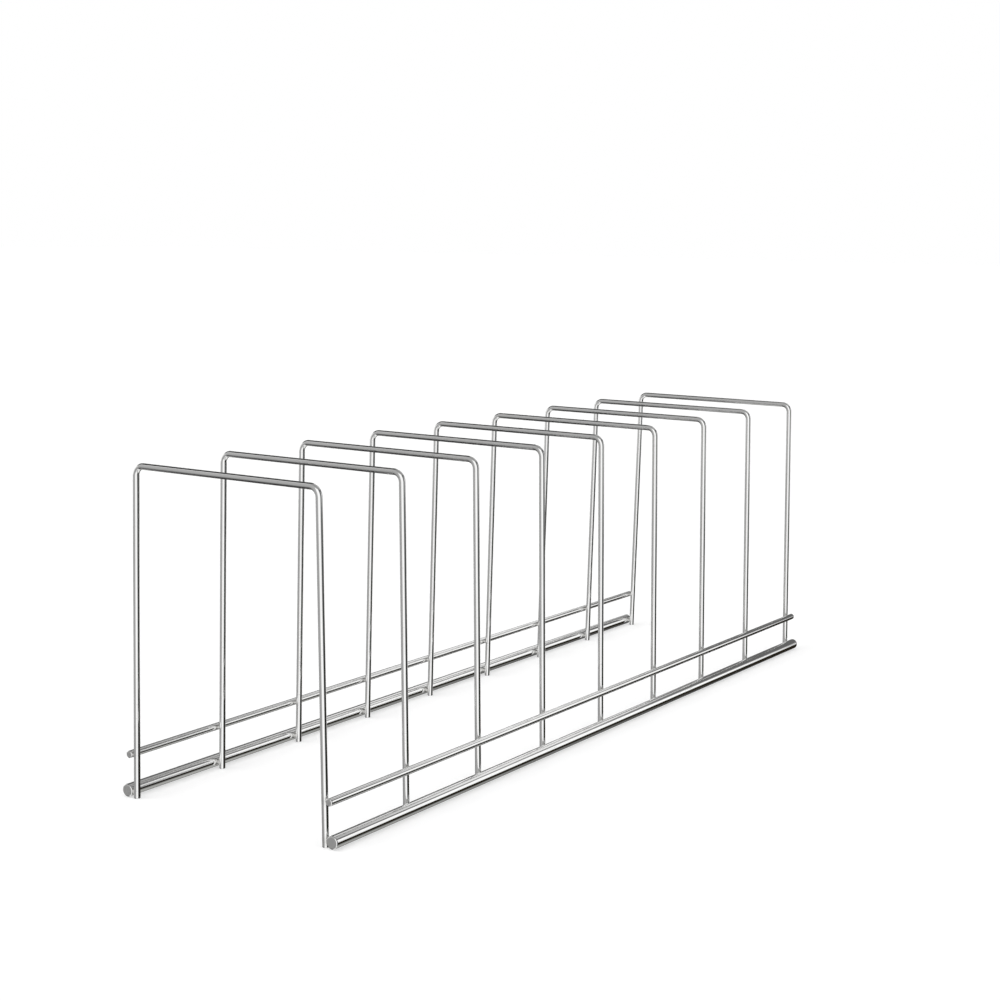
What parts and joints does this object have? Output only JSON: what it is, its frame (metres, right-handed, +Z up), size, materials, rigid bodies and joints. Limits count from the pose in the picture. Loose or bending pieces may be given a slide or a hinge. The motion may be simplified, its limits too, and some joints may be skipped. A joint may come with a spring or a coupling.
{
  "type": "plate rack",
  "caption": "Chromed wire rack that holds plates on edge between upright wire hoops welded to two pairs of rails.",
  "frame": {"origin": "on the surface that the rack stands on, in the middle of its footprint", "axes": "+Z up, +Y along the rack from the front hoop to the back hoop, +X across the hoops to the right"},
  "size_m": [0.1294, 0.4676, 0.159],
  "materials": {
    "hoop_wire": "bright chrome plate over drawn steel wire",
    "lower_rod": "bright chrome plate over thick steel rod",
    "upper_rod": "bright chrome plate over thin steel rod",
    "weld": "chrome plate over the rougher metal of a resistance weld"
  },
  "bodies": {
    "root": {"hoop_1": "hoop_wire", "hoop_2": "hoop_wire", "hoop_3": "hoop_wire", "hoop_4": "hoop_wire", "hoop_5": "hoop_wire", "hoop_6": "hoop_wire", "hoop_7": "hoop_wire", "hoop_8": "hoop_wire", "hoop_9": "hoop_wire", "lower_rail_left": "lower_rod", "lower_rail_right": "lower_rod", "upper_rail_left": "upper_rod", "upper_rail_right": "upper_rod", "weld_lower_left_1": "weld", "weld_lower_left_2": "weld", "weld_lower_left_3": "weld", "weld_lower_left_4": "weld", "weld_lower_left_5": "weld", "weld_lower_left_6": "weld", "weld_lower_left_7": "weld", "weld_lower_left_8": "weld", "weld_lower_left_9": "weld", "weld_lower_right_1": "weld", "weld_lower_right_2": "weld", "weld_lower_right_3": "weld", "weld_lower_right_4": "weld", "weld_lower_right_5": "weld", "weld_lower_right_6": "weld", "weld_lower_right_7": "weld", "weld_lower_right_8": "weld", "weld_lower_right_9": "weld", "weld_upper_left_1": "weld", "weld_upper_left_2": "weld", "weld_upper_left_3": "weld", "weld_upper_left_4": "weld", "weld_upper_left_5": "weld", "weld_upper_left_6": "weld", "weld_upper_left_7": "weld", "weld_upper_left_8": "weld", "weld_upper_left_9": "weld", "weld_upper_right_1": "weld", "weld_upper_right_2": "weld", "weld_upper_right_3": "weld", "weld_upper_right_4": "weld", "weld_upper_right_5": "weld", "weld_upper_right_6": "weld", "weld_upper_right_7": "weld", "weld_upper_right_8": "weld", "weld_upper_right_9": "weld"}
  },
  "joints": []
}
